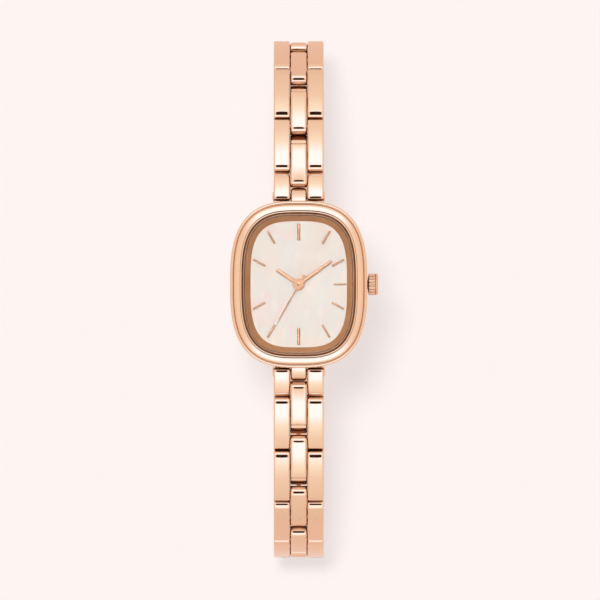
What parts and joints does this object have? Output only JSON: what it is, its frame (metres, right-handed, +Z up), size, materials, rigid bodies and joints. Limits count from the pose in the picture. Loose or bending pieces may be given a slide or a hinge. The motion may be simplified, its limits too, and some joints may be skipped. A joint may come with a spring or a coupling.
{
  "type": "bracelet wristwatch",
  "caption": "Small cushion-shaped bracelet watch with a mother-of-pearl dial, centre seconds, a pull-out crown, an H-link bracelet and a folding clasp.",
  "frame": {"origin": "on the flat underside of the clasp cover, straight below the centre of the dial", "axes": "+Z up out of the dial, +Y towards 12 o'clock along the bracelet, +X towards 3 o'clock and the crown"},
  "size_m": [0.0237, 0.0824, 0.0362],
  "materials": {
    "rose_gold_steel": "mirror-polished stainless steel with a rose-gold coating",
    "satin_rose_gold_steel": "satin stainless steel with a rose-gold coating",
    "rose_gold_brass": "polished brass with a rose-gold plating",
    "copper_lacquer": "turned brass ring, polished and plated copper-rose",
    "tool_steel": "ground steel",
    "nickel_plate": "nickel-plated",
    "cell_steel": "pressed stainless steel",
    "brass": "machined",
    "copper_wire": "lacquered copper winding",
    "mother_of_pearl": "polished mother-of-pearl",
    "mineral_glass": "polished",
    "seal_rubber": "matte",
    "holder_plastic": "moulded",
    "board_laminate": "laminate"
  },
  "bodies": {
    "head": {"case_body": "rose_gold_steel", "bezel": "rose_gold_steel", "crystal": "mineral_glass", "crystal_seal": "seal_rubber", "dial_ring": "copper_lacquer", "dial": "mother_of_pearl", "hour_markers": "rose_gold_brass", "movement_holder": "holder_plastic", "main_plate": "brass", "train_bridge": "nickel_plate", "circuit_board": "board_laminate", "motor_coil": "copper_wire", "battery": "cell_steel", "case_back": "satin_rose_gold_steel"},
    "second_hand": {"second_hand": "rose_gold_brass", "second_wheel": "brass"},
    "minute_hand": {"minute_hand": "rose_gold_brass", "center_wheel": "brass"},
    "hour_hand": {"hour_hand": "rose_gold_brass", "hour_wheel": "brass"},
    "third_wheel": {"third_wheel": "brass"},
    "minute_wheel": {"minute_wheel": "brass"},
    "step_wheel": {"step_wheel": "brass"},
    "rotor": {"rotor": "tool_steel"},
    "setting_lever": {"setting_lever": "tool_steel"},
    "crown": {"crown": "rose_gold_steel", "stem": "tool_steel"},
    "end_12": {"end_link_12": "rose_gold_steel"},
    "end_6": {"end_link_6": "rose_gold_steel"},
    "link_12_1": {"outer_links_12_1": "rose_gold_steel", "center_link_12_1": "rose_gold_steel"},
    "link_12_2": {"outer_links_12_2": "rose_gold_steel", "center_link_12_2": "rose_gold_steel"},
    "link_12_3": {"outer_links_12_3": "rose_gold_steel", "center_link_12_3": "rose_gold_steel"},
    "link_12_4": {"outer_links_12_4": "rose_gold_steel", "center_link_12_4": "rose_gold_steel"},
    "link_12_5": {"outer_links_12_5": "rose_gold_steel", "center_link_12_5": "rose_gold_steel"},
    "link_12_6": {"outer_links_12_6": "rose_gold_steel", "center_link_12_6": "rose_gold_steel"},
    "link_12_7": {"outer_links_12_7": "rose_gold_steel", "center_link_12_7": "rose_gold_steel"},
    "link_6_1": {"outer_links_6_1": "rose_gold_steel", "center_link_6_1": "rose_gold_steel"},
    "link_6_2": {"outer_links_6_2": "rose_gold_steel", "center_link_6_2": "rose_gold_steel"},
    "link_6_3": {"outer_links_6_3": "rose_gold_steel", "center_link_6_3": "rose_gold_steel"},
    "link_6_4": {"outer_links_6_4": "rose_gold_steel", "center_link_6_4": "rose_gold_steel"},
    "link_6_5": {"outer_links_6_5": "rose_gold_steel", "center_link_6_5": "rose_gold_steel"},
    "link_6_6": {"outer_links_6_6": "rose_gold_steel", "center_link_6_6": "rose_gold_steel"},
    "link_6_7": {"outer_links_6_7": "rose_gold_steel", "center_link_6_7": "rose_gold_steel"},
    "cover": {"clasp_cover": "rose_gold_steel"},
    "middle_leaf": {"clasp_middle_leaf": "satin_rose_gold_steel"},
    "inner_leaf": {"clasp_inner_leaf": "satin_rose_gold_steel"}
  },
  "joints": [
    {"name": "second_hand_turn", "type": "hinge", "parent": "head", "child": "second_hand", "pos_m": [0, 0, 0.03338], "axis": [0, 0, -1], "continuous": true},
    {"name": "minute_hand_turn", "type": "hinge", "parent": "head", "child": "minute_hand", "pos_m": [0, 0, 0.03338], "axis": [0, 0, -1], "continuous": true},
    {"name": "hour_hand_turn", "type": "hinge", "parent": "head", "child": "hour_hand", "pos_m": [0, 0, 0.03338], "axis": [0, 0, -1], "continuous": true},
    {"name": "third_wheel_turn", "type": "hinge", "parent": "head", "child": "third_wheel", "pos_m": [0, 0.00324, 0.03338], "axis": [0, 0, -1], "continuous": true},
    {"name": "minute_wheel_turn", "type": "hinge", "parent": "head", "child": "minute_wheel", "pos_m": [-0.0009, -0.00248, 0.03338], "axis": [0, 0, -1], "continuous": true},
    {"name": "step_wheel_turn", "type": "hinge", "parent": "head", "child": "step_wheel", "pos_m": [-0.00289, -0.00105, 0.03338], "axis": [0, 0, -1], "continuous": true},
    {"name": "rotor_turn", "type": "hinge", "parent": "head", "child": "rotor", "pos_m": [-0.00497, 0.00015, 0.03338], "axis": [0, 0, -1], "continuous": true},
    {"name": "crown_pull", "type": "slide", "parent": "head", "child": "setting_lever", "axis": [1, 0, 0], "range_m": [0, 0.0009]},
    {"name": "crown_turn", "type": "hinge", "parent": "setting_lever", "child": "crown", "pos_m": [0.011, 0, 0.03283], "axis": [1, 0, 0], "continuous": true},
    {"name": "lug_hinge_12", "type": "hinge", "parent": "head", "child": "end_12", "pos_m": [0, 0.01405, 0.03318], "axis": [1, 0, 0], "range_deg": [0, 8]},
    {"name": "link_hinge_12_1", "type": "hinge", "parent": "end_12", "child": "link_12_1", "pos_m": [0, 0.01662, 0.03282], "axis": [1, 0, 0], "range_deg": [0, 9]},
    {"name": "link_hinge_12_2", "type": "hinge", "parent": "link_12_1", "child": "link_12_2", "pos_m": [0, 0.02523, 0.03019], "axis": [1, 0, 0], "range_deg": [0, 13]},
    {"name": "link_hinge_12_3", "type": "hinge", "parent": "link_12_2", "child": "link_12_3", "pos_m": [0, 0.03303, 0.02569], "axis": [1, 0, 0], "range_deg": [0, 28]},
    {"name": "link_hinge_12_4", "type": "hinge", "parent": "link_12_3", "child": "link_12_4", "pos_m": [0, 0.03779, 0.01806], "axis": [1, 0, 0], "range_deg": [0, 40]},
    {"name": "link_hinge_12_5", "type": "hinge", "parent": "link_12_4", "child": "link_12_5", "pos_m": [0, 0.03654, 0.00914], "axis": [1, 0, 0], "range_deg": [0, 44]},
    {"name": "link_hinge_12_6", "type": "hinge", "parent": "link_12_5", "child": "link_12_6", "pos_m": [0, 0.02945, 0.0036], "axis": [1, 0, 0], "range_deg": [0, 30]},
    {"name": "link_hinge_12_7", "type": "hinge", "parent": "link_12_6", "child": "link_12_7", "pos_m": [0, 0.02054, 0.00235], "axis": [1, 0, 0], "range_deg": [0, 6]},
    {"name": "lug_hinge_6", "type": "hinge", "parent": "head", "child": "end_6", "pos_m": [0, -0.01405, 0.03318], "axis": [-1, 0, 0], "range_deg": [0, 8]},
    {"name": "link_hinge_6_1", "type": "hinge", "parent": "end_6", "child": "link_6_1", "pos_m": [0, -0.01662, 0.03282], "axis": [-1, 0, 0], "range_deg": [0, 9]},
    {"name": "link_hinge_6_2", "type": "hinge", "parent": "link_6_1", "child": "link_6_2", "pos_m": [0, -0.02523, 0.03019], "axis": [-1, 0, 0], "range_deg": [0, 7]},
    {"name": "link_hinge_6_3", "type": "hinge", "parent": "link_6_2", "child": "link_6_3", "pos_m": [0, -0.03345, 0.02653], "axis": [-1, 0, 0], "range_deg": [0, 21]},
    {"name": "link_hinge_6_4", "type": "hinge", "parent": "link_6_3", "child": "link_6_4", "pos_m": [0, -0.03982, 0.02016], "axis": [-1, 0, 0], "range_deg": [0, 26]},
    {"name": "link_hinge_6_5", "type": "hinge", "parent": "link_6_4", "child": "link_6_5", "pos_m": [0, -0.04275, 0.01165], "axis": [-1, 0, 0], "range_deg": [0, 51]},
    {"name": "link_hinge_6_6", "type": "hinge", "parent": "link_6_5", "child": "link_6_6", "pos_m": [0, -0.03798, 0.00402], "axis": [-1, 0, 0], "range_deg": [0, 42]},
    {"name": "link_hinge_6_7", "type": "hinge", "parent": "link_6_6", "child": "link_6_7", "pos_m": [0, -0.02933, 0.00154], "axis": [-1, 0, 0], "range_deg": [0, 13]},
    {"name": "cover_hinge", "type": "hinge", "parent": "link_6_7", "child": "cover", "pos_m": [0, -0.02034, 0.00107], "axis": [-1, 0, 0], "range_deg": [0, 15]},
    {"name": "middle_leaf_hinge", "type": "hinge", "parent": "cover", "child": "middle_leaf", "pos_m": [0, 0.00844, 0.00125], "axis": [-1, 0, 0], "range_deg": [0, 120]},
    {"name": "inner_leaf_hinge", "type": "hinge", "parent": "middle_leaf", "child": "inner_leaf", "pos_m": [0, -0.01729, 0.0017], "axis": [1, 0, 0], "range_deg": [0, 60]}
  ],
  "couplings": [
    {"joint": "minute_hand_turn", "follows": "second_hand_turn", "ratio": 0.016667},
    {"joint": "hour_hand_turn", "follows": "second_hand_turn", "ratio": 0.0013889},
    {"joint": "third_wheel_turn", "follows": "second_hand_turn", "ratio": -0.13333},
    {"joint": "minute_wheel_turn", "follows": "second_hand_turn", "ratio": -0.0055556},
    {"joint": "step_wheel_turn", "follows": "second_hand_turn", "ratio": -6},
    {"joint": "rotor_turn", "follows": "second_hand_turn", "ratio": 30}
  ]
}
